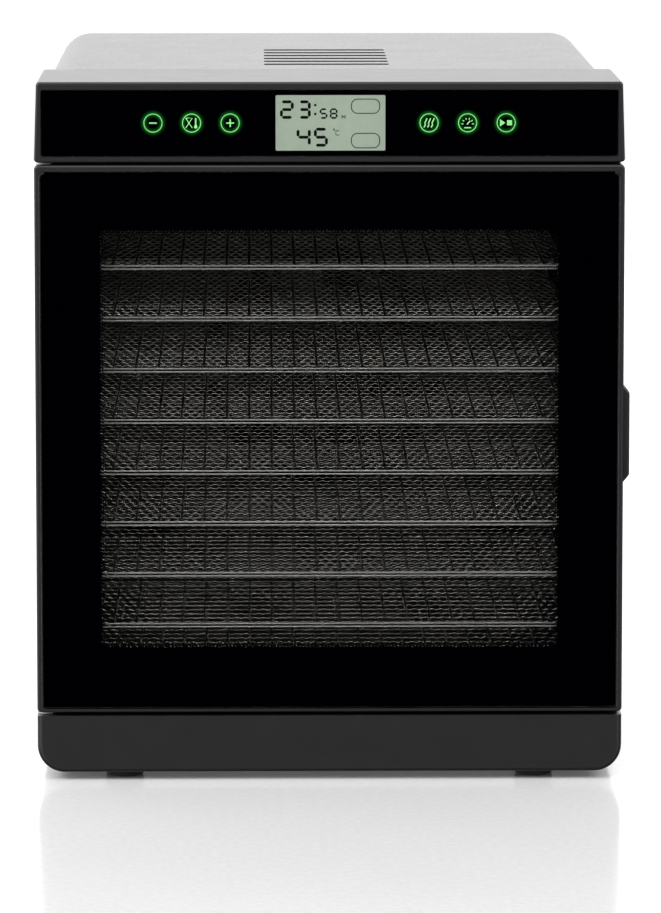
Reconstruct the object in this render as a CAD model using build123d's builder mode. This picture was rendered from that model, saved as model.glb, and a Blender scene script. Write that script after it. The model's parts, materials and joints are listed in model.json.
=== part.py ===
"""Nine-tray cabinet food dehydrator with a swinging glass door.

Millimetres, +Z up, +X to the user's right, -Y towards the user. The origin is on the surface
that the feet stand on, under the middle of the body.
"""

import os
from math import cos, radians, sin

from build123d import *

# ---- driving sizes: the body ----
body_width = 345.0
body_depth = 450.0
foot_height = 5.0
base_height = 34.0
base_corner = 16.0
door_height = 324.0
door_thickness = 22.0
gap_under_door = 2.0
gap_over_door = 1.5
gap_behind_door = 1.0
housing_height = 47.0
housing_depth = 105.0
housing_taper = 1.5
casing_inset = 1.0
casing_corner = 20.0
rear_stand_off = 3.0

# ---- walls and clearances ----
plastic_wall = 2.5
sheet = 1.5
frame_thickness = 4.0
cover_thickness = 3.0
fit = 0.2
running_fit = 0.08
screw_fit = 0.05
seam = 0.5
plug_in = 2.0
screw_bite = 5.0
head_taper = 15.0
head_slot_share = 0.24
head_slot_sink = 0.55

# ---- driving sizes: the drying chamber and its trays ----
chamber_width = 306.0
chamber_floor_level = 50.0
chamber_height = 302.0
chamber_depth = 341.0
tray_count = 9
tray_pitch = 30.57
tray_width = 300.0
tray_depth = 330.0
tray_corner = 15.0
tray_rod = 3.3
tray_setback = 9.0
lowest_tray_rod = 57.8
rib_count = 22
rib_pitch = 13.5
rib_width = 1.6
wire_count = 9
wire_pitch = 36.0
wire_width = 1.2
lattice_thickness = 1.4
runner_thickness = 2.0
runner_reach = 10.0
runner_clearance = 0.3

# ---- driving sizes: the door ----
door_corner = 2.5
door_front_edge = 1.2
door_back_edge = 3.0
door_rim = 4.0
door_border_side = 2.7
door_border_top = 4.0
door_border_bottom = 2.3
door_glass_thickness = 4.0
glass_corner = 3.0
window_width = 278.0
window_bottom = 75.0
window_height = 256.0
window_corner = 6.0
hinge_from_side = 5.5
hinge_from_front = 11.0
hinge_pin_radius = 1.9
hinge_pin_head = 2.8
hinge_pin_head_height = 2.0
hinge_pin_reach = 8.0
bush_radius = 3.2
bush_length = 10.0
hinge_block = (10.0, 14.0)
handle_length = 58.0
handle_level = 206.0
handle_proud = 3.8
handle_depth = 16.0
handle_slope = 4.7
seal_width = 4.0
seal_offset = 3.5
seal_groove = 1.5
seal_gap = 0.3
magnet_size = (8.0, 38.0)
magnet_depth = 5.8
magnet_levels = (103.0, 303.0)
magnet_from_side = 8.7

# ---- driving sizes: the controls ----
control_border_side = 4.2
control_border_top = 4.7
control_border_bottom = 3.5
control_glass_thickness = 3.0
control_wall = 3.0
lcd_width = 64.0
lcd_height = 32.5
lcd_offset = 0.5
lcd_thickness = 2.0
module_border = (4.0, 2.5)
module_depth = 8.0
icon_places = (-103.0, -80.5, -58.0, 58.0, 80.5, 103.0)
light_guide_radius = 6.2
light_guide_flange = 7.5
flange_thickness = 1.5
board_thickness = 1.6
control_board_width = 248.0
control_board_height = 37.0

# ---- driving sizes: air, heat and power ----
slot_count = 6
slot_pitch = 26.0
slot_width = 11.0
slot_length = 76.0
slot_middle = -10.5
vent_drop = 14.0
fan_radius = 68.0
fan_hub_radius = 16.0
fan_hub_length = 18.0
fan_setback = 6.0
blade_count = 7
blade_chord = 30.0
blade_pitch = 32.0
blade_thickness = 1.6
shaft_radius = 3.0
baffle_hole_radius = 78.0
guard_thickness = 2.0
heater_radius = 92.0
heater_tube = 3.5
heater_setback = 8.5
bracket_setback = 33.5
bracket_half_span = 110.0
bracket_thickness = 2.0
bracket_half_height = 14.0
stator_width = 64.0
stator_height = 84.0
stator_depth = 22.0
rotor_radius = 14.5
rotor_gap = 0.5
gland_place = (130.0, 75.0)
gland_radius = 8.0
lead_radius = 3.5

# ---- levels and depths worked out from the sizes above ----
front_y = -body_depth / 2
rear_y = body_depth / 2
back_y = rear_y - rear_stand_off
side_x = body_width / 2
base_bottom = foot_height
base_top = base_bottom + base_height
door_bottom = base_top + gap_under_door
door_top = door_bottom + door_height
housing_bottom = door_top + gap_over_door
body_top = housing_bottom + housing_height
door_back_y = front_y + door_thickness
frame_front_y = door_back_y + gap_behind_door
frame_back_y = frame_front_y + frame_thickness
cover_front_y = back_y - cover_thickness
housing_back_y = front_y + housing_depth
casing_width = body_width - 2 * casing_inset
chamber_ceiling_level = chamber_floor_level + chamber_height
chamber_middle = chamber_floor_level + chamber_height / 2
chamber_back_y = frame_back_y + chamber_depth
baffle_back_y = chamber_back_y + sheet
tray_front_y = frame_front_y + tray_setback
tray_middle_y = tray_front_y + tray_depth / 2
tray_levels = [lowest_tray_rod + step * tray_pitch for step in range(tray_count)]
hinge_x = -side_x + hinge_from_side
hinge_y = front_y + hinge_from_front


def upright(y):
    """A standing plane at depth y that faces the user: X to the right, Z up, out is -Y."""
    return Plane.XZ.offset(-y)


def upright_back(y):
    """A standing plane at depth y that faces the wall: out is +Y, and its own X runs to -X."""
    return Plane(origin=(0, y, 0), x_dir=(-1, 0, 0), z_dir=(0, 1, 0))


def slab(left, right, low, high, corner=0.0, mode=Mode.ADD):
    """A rectangle in the open sketch, between two X values and two levels."""
    with Locations(((left + right) / 2, (low + high) / 2)):
        if corner:
            RectangleRounded(right - left, high - low, corner, mode=mode)
        else:
            Rectangle(right - left, high - low, mode=mode)


def cabinet_outline(inset, bottom):
    """The cabinet's section: square on the base, with two rounded top corners."""
    half = casing_width / 2 - inset
    slab(-half, half, bottom, body_top - inset)
    fillet(vertices().group_by(Axis.Y)[-1], casing_corner - inset)


def beside(place, shift):
    """A place in a plane, moved by a shift."""
    return place[0] + shift[0], place[1] + shift[1]


def pegs(plane, places, radius, height, taper=0.0, mode=Mode.ADD):
    """Round bosses on the open part, standing out of a plane."""
    with BuildSketch(plane) as rounds:
        with Locations(*places):
            Circle(radius)
    extrude(to_extrude=rounds.sketch, amount=height, taper=taper, mode=mode)


def drill(plane, places, radius, depth):
    """Round holes in the open part, from a plane into the material behind it."""
    pegs(plane, places, radius, -depth, mode=Mode.SUBTRACT)


def screws(plane, places, head, shank, head_height, reach):
    """Pan head cross screws: heads stand out of the plane, shanks reach in behind it."""
    pegs(plane, places, head, head_height, taper=head_taper)
    pegs(plane, places, shank, -reach)
    with BuildSketch(plane.offset(head_height)) as cross:
        with Locations(*places):
            Rectangle(head, head * head_slot_share)
            Rectangle(head * head_slot_share, head)
    extrude(to_extrude=cross.sketch, amount=-head_height * head_slot_sink, mode=Mode.SUBTRACT)


# ================================================================ base and feet
foot_radius = 11.0
foot_from_side = 51.0
foot_from_front = 23.0
foot_recess_radius = 5.5
foot_recess = 2.6
foot_screw = 2.0
foot_screw_head = 4.5
foot_screw_length = 22.0
foot_boss_radius = 6.0
foot_x = side_x - foot_from_side
foot_places = [
    (sign * foot_x, y)
    for sign in (-1, 1)
    for y in (front_y + foot_from_front, back_y - foot_from_front)
]
plate_top = base_bottom + plastic_wall
base_edge = 3.0
plate_half = side_x - base_corner - plug_in
deck_under = base_top - plastic_wall
base_inner_front = front_y + plastic_wall
base_inner_back = back_y - plastic_wall

with BuildPart() as base_housing:
    with BuildSketch(upright(front_y)):
        slab(-side_x, side_x, base_bottom, base_top)
        fillet(vertices().group_by(Axis.Y)[0], base_corner)
    extrude(amount=-(back_y - front_y))
    fillet(edges().filter_by(Axis.Z).group_by(Axis.Y)[0], base_edge)
    with BuildSketch(upright(base_inner_front)):
        slab(-side_x + plastic_wall, side_x - plastic_wall, plate_top, deck_under)
        fillet(vertices().group_by(Axis.Y)[0], base_corner - plastic_wall)
    extrude(amount=-(base_inner_back - base_inner_front), mode=Mode.SUBTRACT)
    with BuildSketch(Plane.XY.offset(base_bottom)):
        slab(-plate_half - fit, plate_half + fit, base_inner_front, base_inner_back)
    extrude(amount=plastic_wall, mode=Mode.SUBTRACT)
    pegs(Plane.XY.offset(plate_top), foot_places, foot_boss_radius, deck_under - plate_top)
    with BuildSketch(Plane.XY.offset(plate_top)):
        with Locations(*foot_places):
            Circle(foot_screw + screw_fit)
    extrude(amount=foot_screw_length, mode=Mode.SUBTRACT)
    drill(Plane.XY.offset(base_top), [(hinge_x, hinge_y)], hinge_pin_radius + screw_fit, plastic_wall)
base_housing.part.label = "base_housing"

with BuildPart() as base_plate:
    with BuildSketch(Plane.XY.offset(base_bottom)):
        slab(-plate_half, plate_half, base_inner_front + fit, base_inner_back - fit)
        with Locations(*foot_places):
            Circle(foot_screw + fit, mode=Mode.SUBTRACT)
    extrude(amount=plastic_wall)
base_plate.part.label = "base_plate"

foot_edge = 0.8
foot_screw_head_height = 2.0

with BuildPart() as feet:
    with BuildSketch(Plane.XY):
        with Locations(*foot_places):
            Circle(foot_radius)
    extrude(amount=foot_height)
    chamfer(edges().filter_by(GeomType.CIRCLE).group_by(Axis.Z)[0], foot_edge)
    with BuildSketch(Plane.XY):
        with Locations(*foot_places):
            Circle(foot_recess_radius)
    extrude(amount=foot_recess, mode=Mode.SUBTRACT)
    drill(Plane.XY.offset(foot_height), foot_places, foot_screw + fit, foot_height)
feet.part.label = "feet"

with BuildPart() as foot_screws:
    screws(
        Plane(origin=(0, 0, foot_recess), x_dir=(1, 0, 0), z_dir=(0, 0, -1)),
        [(x, -y) for x, y in foot_places],
        foot_screw_head,
        foot_screw,
        foot_screw_head_height,
        foot_screw_length,
    )
foot_screws.part.label = "foot_screws"

# ================================================================ casing
flange_width = 14.0
rear_screw_inset = 8.0
rear_screw_radius = 1.8
rear_screw_head = 3.5
rear_screw_head_height = 2.2
rear_screw_low = base_top + 21.0
rear_screw_high = body_top - 75.0
rear_screw_span = 200.0
rear_screw_x = casing_width / 2 - rear_screw_inset
rear_screw_places = [
    (sign * rear_screw_x, level)
    for sign in (-1, 1)
    for level in (rear_screw_low, chamber_middle, rear_screw_high)
]
rear_screw_places += [(sign * rear_screw_span / 2, body_top - rear_screw_inset) for sign in (-1, 1)]

with BuildPart() as outer_casing:
    with BuildSketch(upright(frame_back_y)):
        cabinet_outline(0, base_top)
        with BuildSketch(mode=Mode.SUBTRACT):
            cabinet_outline(sheet, base_top - sheet)
    extrude(amount=-(cover_front_y - frame_back_y))
    with BuildSketch(upright(cover_front_y)):
        cabinet_outline(0, base_top)
        with BuildSketch(mode=Mode.SUBTRACT):
            cabinet_outline(flange_width, base_top - sheet)
    extrude(amount=sheet)
    with BuildSketch(upright(frame_back_y)):
        slab(-side_x, side_x, housing_bottom, body_top + seam)
    extrude(amount=-(housing_back_y + seam - frame_back_y), mode=Mode.SUBTRACT)
    with BuildSketch(Plane.XY.offset(body_top)):
        with Locations((0, slot_middle)):
            with GridLocations(slot_length, slot_pitch, 1, slot_count):
                RectangleRounded(slot_length, slot_width, 1.5)
    extrude(amount=-sheet, mode=Mode.SUBTRACT)
    drill(
        upright(cover_front_y - sheet),
        rear_screw_places,
        rear_screw_radius + screw_fit,
        sheet,
    )
outer_casing.part.label = "outer_casing"

vent_overlap = 20.0
vent_half = slot_length / 2 + vent_overlap
vent_span = (slot_count - 1) * slot_pitch + slot_width + 1.5 * vent_overlap
casing_under = body_top - sheet

with BuildPart() as vent_baffle:
    with BuildSketch(upright(slot_middle - vent_span / 2)):
        slab(-vent_half, vent_half, casing_under - vent_drop, casing_under)
        slab(
            -vent_half + sheet, vent_half - sheet,
            casing_under - vent_drop + sheet, casing_under,
            mode=Mode.SUBTRACT,
        )
    extrude(amount=-vent_span)
vent_baffle.part.label = "vent_baffle"

grille_columns = 3
grille_rows = 15
grille_slot = (44.0, 4.0)
grille_pitch = (52.0, 9.0)

with BuildPart() as rear_cover:
    with BuildSketch(upright(cover_front_y)):
        cabinet_outline(0, base_top)
    extrude(amount=-cover_thickness)
    with BuildSketch(upright_back(back_y)):
        with Locations((0, chamber_middle)):
            with GridLocations(*grille_pitch, grille_columns, grille_rows):
                SlotOverall(*grille_slot)
    extrude(amount=-cover_thickness, mode=Mode.SUBTRACT)
    drill(upright(cover_front_y), rear_screw_places, rear_screw_radius + fit, cover_thickness)
    drill(upright(cover_front_y), [gland_place], gland_radius + fit, cover_thickness)
rear_cover.part.label = "rear_cover"

with BuildPart() as rear_screws:
    screws(
        upright_back(back_y),
        rear_screw_places,
        rear_screw_head,
        rear_screw_radius,
        rear_screw_head_height,
        cover_thickness + screw_bite,
    )
rear_screws.part.label = "rear_screws"

gland_flange = 3.0
gland_edge = 1.2

with BuildPart() as cord_gland:
    gland_back = upright_back(back_y)
    gland_spot = [(-gland_place[0], gland_place[1])]
    pegs(gland_back, gland_spot, gland_radius + gland_flange, rear_stand_off)
    fillet(edges().filter_by(GeomType.CIRCLE).group_by(Axis.Y)[-1], gland_edge)
    drill_depth = cover_thickness + screw_bite
    with BuildSketch(gland_back):
        with Locations(*gland_spot):
            Circle(gland_radius)
    extrude(amount=-drill_depth)
    with BuildSketch(upright(cover_front_y)):
        with Locations(gland_place):
            RegularPolygon(gland_radius + gland_flange, 6)
    extrude(amount=drill_depth - cover_thickness)
    drill(gland_back.offset(rear_stand_off), gland_spot, lead_radius + fit, drill_depth + rear_stand_off)
cord_gland.part.label = "cord_gland"

# ================================================================ front frame
strike_thickness = 1.0
strike_x = side_x - magnet_from_side
strike_places = [(strike_x, level) for level in magnet_levels]
housing_screw_radius = 1.8
housing_screw_head = 3.4
housing_screw_y = frame_back_y + 10.0
housing_screw_columns = (-140.0, -60.0, 60.0, 140.0)
housing_screw_places = [(x, housing_screw_y) for x in housing_screw_columns]
opening_half = chamber_width / 2

with BuildPart() as front_frame:
    with BuildSketch(upright(frame_front_y)):
        slab(-casing_width / 2, casing_width / 2, base_top, housing_bottom)
        slab(
            -opening_half, opening_half,
            chamber_floor_level, chamber_ceiling_level,
            corner=4.0, mode=Mode.SUBTRACT,
        )
    extrude(amount=-frame_thickness)
    with BuildSketch(Plane.XY.offset(housing_bottom)):
        slab(-opening_half, opening_half, frame_back_y, frame_back_y + 20.0)
    extrude(amount=-plastic_wall)
    with BuildSketch(upright(frame_front_y)):
        with Locations(*strike_places):
            Rectangle(magnet_size[0] + 2 * fit, magnet_size[1] + 2 * fit)
    extrude(amount=-strike_thickness, mode=Mode.SUBTRACT)
    drill(
        Plane.XY.offset(housing_bottom), housing_screw_places,
        housing_screw_radius + screw_fit, plastic_wall,
    )
front_frame.part.label = "front_frame"

with BuildPart() as strike_plates:
    with BuildSketch(upright(frame_front_y)):
        with Locations(*strike_places):
            Rectangle(*magnet_size)
    extrude(amount=-strike_thickness)
strike_plates.part.label = "strike_plates"

# ================================================================ drying chamber
runner_half = chamber_width / 2
liner_half = runner_half + sheet
runner_tops = [level - tray_rod / 2 - runner_clearance for level in tray_levels]


def liner_section(side):
    """A chamber side wall with one folded runner under each tray; side is -1 left or +1 right."""
    near, far = side * runner_half, side * liner_half
    tip = side * (runner_half - runner_reach)
    slab(min(near, far), max(near, far), chamber_floor_level, chamber_ceiling_level)
    for top in runner_tops:
        slab(min(near, tip), max(near, tip), top - runner_thickness, top)


with BuildPart() as chamber_left:
    with BuildSketch(upright(frame_back_y)):
        liner_section(-1)
    extrude(amount=-chamber_depth)
chamber_left.part.label = "chamber_left"

with BuildPart() as chamber_right:
    with BuildSketch(upright(frame_back_y)):
        liner_section(1)
    extrude(amount=-chamber_depth)
chamber_right.part.label = "chamber_right"

with BuildPart() as chamber_floor:
    with BuildSketch(upright(frame_back_y)):
        slab(-liner_half, liner_half, base_top, chamber_floor_level)
        slab(
            -liner_half + sheet, liner_half - sheet,
            base_top, chamber_floor_level - sheet,
            mode=Mode.SUBTRACT,
        )
    extrude(amount=-chamber_depth)
chamber_floor.part.label = "chamber_floor"

with BuildPart() as chamber_ceiling:
    with BuildSketch(upright(frame_back_y)):
        slab(-liner_half, liner_half, chamber_ceiling_level, chamber_ceiling_level + sheet)
    extrude(amount=-chamber_depth)
chamber_ceiling.part.label = "chamber_ceiling"

# ================================================================ rear baffle, guard, sensors
baffle_half = casing_width / 2 - sheet - seam
baffle_drop = 33.5
baffle_top = body_top - baffle_drop
return_slot = (36.0, 8.0)
return_pitch = (230.0, 36.0)
fan_axis = (0.0, chamber_middle)
sensor_from_middle = 110.0
sensor_drop = 16.0
sensor_place = (sensor_from_middle, chamber_ceiling_level - sensor_drop)
sensor_radius = 2.2
sensor_flange = 5.0
sensor_tip = 1.8
sensor_seat = 2.0
sensor_reach = 16.0
cutout_rise = 112.0
cutout_place = (0.0, chamber_middle + cutout_rise)
cutout_radius = 8.0
cutout_height = 6.0
cutout_lug = (24.0, 5.0)
cutout_lug_thickness = 1.2
cutout_blade = (0.8, 5.0)
cutout_blade_pitch = 6.0
bracket_foot = 16.0
bracket_outer = bracket_half_span + bracket_thickness
bracket_front_y = baffle_back_y + bracket_setback
bracket_back_y = bracket_front_y + bracket_thickness
bracket_screw_places = [
    (sign * (bracket_outer + bracket_foot / 2), chamber_middle + rise)
    for sign in (-1, 1)
    for rise in (-bracket_half_height / 2, bracket_half_height / 2)
]
motor_screw = 1.8
motor_screw_head = 3.4

with BuildPart() as rear_baffle:
    with BuildSketch(upright(chamber_back_y)):
        slab(-baffle_half, baffle_half, base_top, baffle_top)
        with Locations(fan_axis):
            Circle(baffle_hole_radius, mode=Mode.SUBTRACT)
            with GridLocations(*return_pitch, 2, 7):
                SlotOverall(*return_slot, mode=Mode.SUBTRACT)
        with Locations(sensor_place):
            Circle(sensor_radius + fit, mode=Mode.SUBTRACT)
        with Locations(*bracket_screw_places):
            Circle(motor_screw + screw_fit, mode=Mode.SUBTRACT)
    extrude(amount=-sheet)
rear_baffle.part.label = "rear_baffle"

guard_rings = 5
guard_ring_width = 2.5
guard_lap = 5.0
guard_outer = baffle_hole_radius + guard_lap
guard_hub = 16.0
guard_spokes = 6

with BuildPart() as fan_guard:
    with BuildSketch(upright(chamber_back_y)):
        with Locations(fan_axis):
            for ring in reversed(range(guard_rings)):
                reach = guard_hub + (guard_outer - guard_hub) * ring / (guard_rings - 1)
                Circle(reach)
                Circle(reach - guard_ring_width, mode=Mode.SUBTRACT)
            with PolarLocations(0, guard_spokes):
                with Locations((guard_outer / 2, 0)):
                    Rectangle(guard_outer - guard_ring_width, guard_ring_width)
    extrude(amount=guard_thickness)
fan_guard.part.label = "fan_guard"

with BuildPart() as thermal_cutout:
    pegs(upright_back(baffle_back_y), [cutout_place], cutout_radius, cutout_height)
    with BuildSketch(upright_back(baffle_back_y)):
        with Locations(cutout_place):
            Rectangle(*cutout_lug)
    extrude(amount=cutout_lug_thickness)
    with BuildSketch(upright_back(baffle_back_y + cutout_height)):
        with Locations(cutout_place):
            with GridLocations(cutout_blade_pitch, 1.0, 2, 1):
                Rectangle(*cutout_blade)
    extrude(amount=cutout_height)
thermal_cutout.part.label = "thermal_cutout"

with BuildPart() as temperature_sensor:
    pegs(
        upright(baffle_back_y + sensor_seat), [sensor_place], sensor_radius,
        sensor_reach + sensor_seat,
    )
    fillet(edges().filter_by(GeomType.CIRCLE).group_by(Axis.Y)[0], sensor_tip)
    with BuildSketch(upright(baffle_back_y)):
        with Locations(sensor_place):
            Circle(sensor_flange)
    extrude(amount=-sensor_seat)
temperature_sensor.part.label = "temperature_sensor"

# ================================================================ heater
heater_y = baffle_back_y + heater_setback
clip_angles = (45.0, 135.0, 225.0, 315.0)
clip_wall = 2.0
clip_width = 8.0
clip_places = [
    (heater_radius * cos(radians(a)), chamber_middle + heater_radius * sin(radians(a)))
    for a in clip_angles
]
leg_spacing = 24.0
leg_length = 26.0

with BuildPart() as heater_ring:
    with Locations(Location((0, heater_y, chamber_middle), (90, 0, 0))):
        Torus(heater_radius, heater_tube)
    with BuildSketch(upright_back(heater_y)):
        with Locations((0, chamber_middle - heater_radius)):
            with GridLocations(leg_spacing, 1, 2, 1):
                Circle(heater_tube)
    extrude(amount=leg_length)
heater_ring.part.label = "heater_ring"

with BuildPart() as heater_clips:
    with BuildSketch(upright_back(baffle_back_y)):
        with Locations(*clip_places):
            Rectangle(clip_width, clip_width)
    extrude(amount=heater_setback + heater_tube + clip_wall)
    with Locations(Location((0, heater_y, chamber_middle), (90, 0, 0))):
        Torus(heater_radius, heater_tube + screw_fit, mode=Mode.SUBTRACT)
heater_clips.part.label = "heater_clips"

# ================================================================ fan and motor
hub_front_y = baffle_back_y + fan_setback
hub_middle_y = hub_front_y + fan_hub_length / 2
shaft_overhang = 4.0
shaft_front_y = hub_front_y - shaft_overhang
stator_back_y = bracket_back_y + stator_depth
shaft_back_y = stator_back_y + shaft_overhang
shaft_collar = 2.0
nut_radius = 5.0
nut_height = 3.0
hub_edge = 3.0
blade_root = 1.5
blade_corner = 6.0
rotor_inset = 1.0

with BuildPart() as fan_impeller:
    with BuildSketch(upright(hub_front_y)):
        with Locations(fan_axis):
            Circle(fan_hub_radius)
    extrude(amount=-fan_hub_length)
    fillet(edges().group_by(Axis.Y)[0], hub_edge)
    for step in range(blade_count):
        turn = radians(360.0 * step / blade_count)
        tilt = radians(blade_pitch)
        along = Vector(cos(turn), 0, sin(turn))
        across = Vector(-sin(turn), 0, cos(turn))
        normal = Vector(0, cos(tilt), 0) + across * sin(tilt)
        blade = Plane(origin=(0, hub_middle_y, chamber_middle), x_dir=along, z_dir=normal)
        with BuildSketch(blade):
            with Locations(((fan_hub_radius + fan_radius) / 2 - blade_root, 0)):
                RectangleRounded(fan_radius - fan_hub_radius + 2 * blade_root, blade_chord, blade_corner)
        extrude(amount=blade_thickness / 2, both=True)
    with BuildSketch(upright(hub_front_y)):
        with Locations(fan_axis):
            Circle(shaft_radius + screw_fit)
    extrude(amount=-fan_hub_length, mode=Mode.SUBTRACT)
fan_impeller.part.label = "fan_impeller"

with BuildPart() as motor_shaft:
    with BuildSketch(upright(shaft_front_y)):
        with Locations(fan_axis):
            Circle(shaft_radius)
    extrude(amount=-(shaft_back_y - shaft_front_y))
    with BuildSketch(upright(hub_front_y + fan_hub_length)):
        with Locations(fan_axis):
            Circle(shaft_radius + shaft_collar)
    extrude(amount=-nut_height)
    with BuildSketch(upright(bracket_back_y + rotor_inset)):
        with Locations(fan_axis):
            Circle(rotor_radius)
    extrude(amount=-(stator_depth - 2 * rotor_inset))
motor_shaft.part.label = "motor_shaft"

with BuildPart() as shaft_nut:
    with BuildSketch(upright(hub_front_y)):
        with Locations(fan_axis):
            RegularPolygon(nut_radius, 6)
            Circle(shaft_radius + screw_fit, mode=Mode.SUBTRACT)
    extrude(amount=nut_height)
shaft_nut.part.label = "shaft_nut"

stator_screw_inset = 5.0
stator_yoke = 12.0
motor_screw_head_height = 2.0
motor_screw_places = [
    (
        sign * (stator_width / 2 - stator_screw_inset),
        chamber_middle + rise * (stator_height / 2 - stator_screw_inset),
    )
    for sign in (-1, 1)
    for rise in (-1, 1)
]
coil_rise = 8.0
coil_level = chamber_middle - stator_height / 2 + coil_rise
coil_leg = 12.0
coil_length = 30.0
coil_build = 5.0
window_low = coil_level + coil_leg / 2
coil_cheek = 6.0
coil_slack = 2.0
pole_wall = 7.0
window_high = chamber_middle - rotor_radius - pole_wall

with BuildPart() as motor_bracket:
    with BuildSketch(Plane.XY.offset(chamber_middle - bracket_half_height)):
        slab(-bracket_outer, bracket_outer, baffle_back_y, bracket_back_y)
        slab(
            -bracket_half_span, bracket_half_span, baffle_back_y, bracket_front_y,
            mode=Mode.SUBTRACT,
        )
        for side in (-1, 1):
            slab(
                *sorted((side * bracket_outer, side * (bracket_outer + bracket_foot))),
                baffle_back_y, baffle_back_y + bracket_thickness,
            )
    extrude(amount=2 * bracket_half_height)
    with BuildSketch(upright(bracket_front_y)):
        with Locations(fan_axis):
            Rectangle(stator_width, stator_height)
    extrude(amount=-bracket_thickness)
    drill(
        upright(bracket_front_y), [fan_axis], shaft_radius + running_fit, bracket_thickness
    )
    drill(
        upright(bracket_front_y), motor_screw_places, motor_screw + screw_fit, bracket_thickness
    )
    drill(
        upright(baffle_back_y), bracket_screw_places, motor_screw + screw_fit, bracket_thickness
    )
motor_bracket.part.label = "motor_bracket"

with BuildPart() as motor_stator:
    with BuildSketch(upright(bracket_back_y)):
        with Locations(fan_axis):
            Rectangle(stator_width, stator_height)
            Circle(rotor_radius + rotor_gap, mode=Mode.SUBTRACT)
        slab(
            -stator_width / 2 + stator_yoke, stator_width / 2 - stator_yoke, window_low, window_high,
            mode=Mode.SUBTRACT,
        )
        with Locations(*motor_screw_places):
            Circle(motor_screw + screw_fit, mode=Mode.SUBTRACT)
    extrude(amount=-stator_depth)
motor_stator.part.label = "motor_stator"

with BuildPart() as motor_coil:
    with BuildSketch(upright(bracket_back_y - coil_build + pole_wall)):
        slab(
            -coil_length / 2, coil_length / 2,
            coil_level - coil_leg / 2 - coil_cheek, window_low + coil_build,
        )
    extrude(amount=-(stator_depth + coil_build - coil_cheek))
    with BuildSketch(upright(bracket_back_y)):
        slab(
            -stator_width / 2, stator_width / 2,
            coil_level - coil_leg / 2 - coil_slack, window_low,
        )
    extrude(amount=-stator_depth, mode=Mode.SUBTRACT)
motor_coil.part.label = "motor_coil"

with BuildPart() as motor_screws:
    screws(
        upright_back(stator_back_y),
        motor_screw_places,
        motor_screw_head,
        motor_screw,
        motor_screw_head_height,
        stator_depth + bracket_thickness + plug_in,
    )
    screws(
        upright_back(baffle_back_y + bracket_thickness),
        bracket_screw_places,
        motor_screw_head,
        motor_screw,
        motor_screw_head_height,
        bracket_thickness + sheet,
    )
motor_screws.part.label = "motor_screws"

# ================================================================ power board and its lead
standoff_height = 6.0
standoff_radius = 3.0
standoff_pin = 1.5
board_inset = 10.0
lead_to_board = 22.0
ceiling_top = chamber_ceiling_level + sheet
board_from_back = 48.0
board_middle = (86.0, chamber_back_y - board_from_back)
board_size = (110.0, 70.0)
standoff_pitch = (board_size[0] - board_inset, board_size[1] - board_inset)
power_board_level = ceiling_top + standoff_height
lead_drop_y = board_middle[1] + lead_to_board
terminal_height = 12.0
terminal_size = (16.0, 10.0)
lead_below_top = 24.0
lead_level = body_top - lead_below_top
transformer = (32.0, 27.0, 22.0)
transformer_shift = (-28.0, -8.0)
relay = (19.0, 15.0, 15.0)
relay_shift = (4.0, -18.0)
capacitor_radius = 7.0
capacitor_height = 20.0
capacitor_shift = (28.0, -12.0)

with BuildPart() as board_standoffs:
    with BuildSketch(Plane.XY.offset(ceiling_top)):
        with Locations(board_middle):
            with GridLocations(*standoff_pitch, 2, 2):
                Circle(standoff_radius)
    extrude(amount=standoff_height)
    with BuildSketch(Plane.XY.offset(power_board_level)):
        with Locations(board_middle):
            with GridLocations(*standoff_pitch, 2, 2):
                Circle(standoff_pin)
    extrude(amount=board_thickness + standoff_pin)
board_standoffs.part.label = "board_standoffs"

with BuildPart() as power_board:
    with BuildSketch(Plane.XY.offset(power_board_level)):
        with Locations(board_middle):
            Rectangle(*board_size)
            with GridLocations(*standoff_pitch, 2, 2):
                Circle(standoff_pin + screw_fit, mode=Mode.SUBTRACT)
    extrude(amount=board_thickness)
    with BuildSketch(Plane.XY.offset(power_board_level + board_thickness)):
        with Locations(beside(board_middle, transformer_shift)):
            Rectangle(*transformer[:2])
    extrude(amount=transformer[2])
    with BuildSketch(Plane.XY.offset(power_board_level + board_thickness)):
        with Locations(beside(board_middle, relay_shift)):
            Rectangle(*relay[:2])
    extrude(amount=relay[2])
    with BuildSketch(Plane.XY.offset(power_board_level + board_thickness)):
        with Locations(beside(board_middle, capacitor_shift)):
            Circle(capacitor_radius)
    extrude(amount=capacitor_height)
    with BuildSketch(Plane.XY.offset(power_board_level + board_thickness)):
        with Locations((gland_place[0], lead_drop_y)):
            Rectangle(*terminal_size)
    extrude(amount=terminal_height)
power_board.part.label = "power_board"

lead_start_y = cover_front_y - 6.0
lead_rise_y = lead_start_y - 20.0
lead_bend_share = 0.6
terminal_top = power_board_level + board_thickness + terminal_height
lead_bend = (lead_level - terminal_top) * lead_bend_share

with BuildPart() as mains_lead:
    with BuildLine() as lead_route:
        FilletPolyline(
            (gland_place[0], lead_start_y, gland_place[1]),
            (gland_place[0], lead_rise_y, gland_place[1]),
            (gland_place[0], lead_rise_y, lead_level),
            (gland_place[0], lead_drop_y, lead_level),
            (gland_place[0], lead_drop_y, terminal_top),
            radius=lead_bend,
        )
    with BuildSketch(upright(lead_start_y)):
        with Locations(gland_place):
            Circle(lead_radius)
    sweep(path=lead_route.line)
mains_lead.part.label = "mains_lead"

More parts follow.
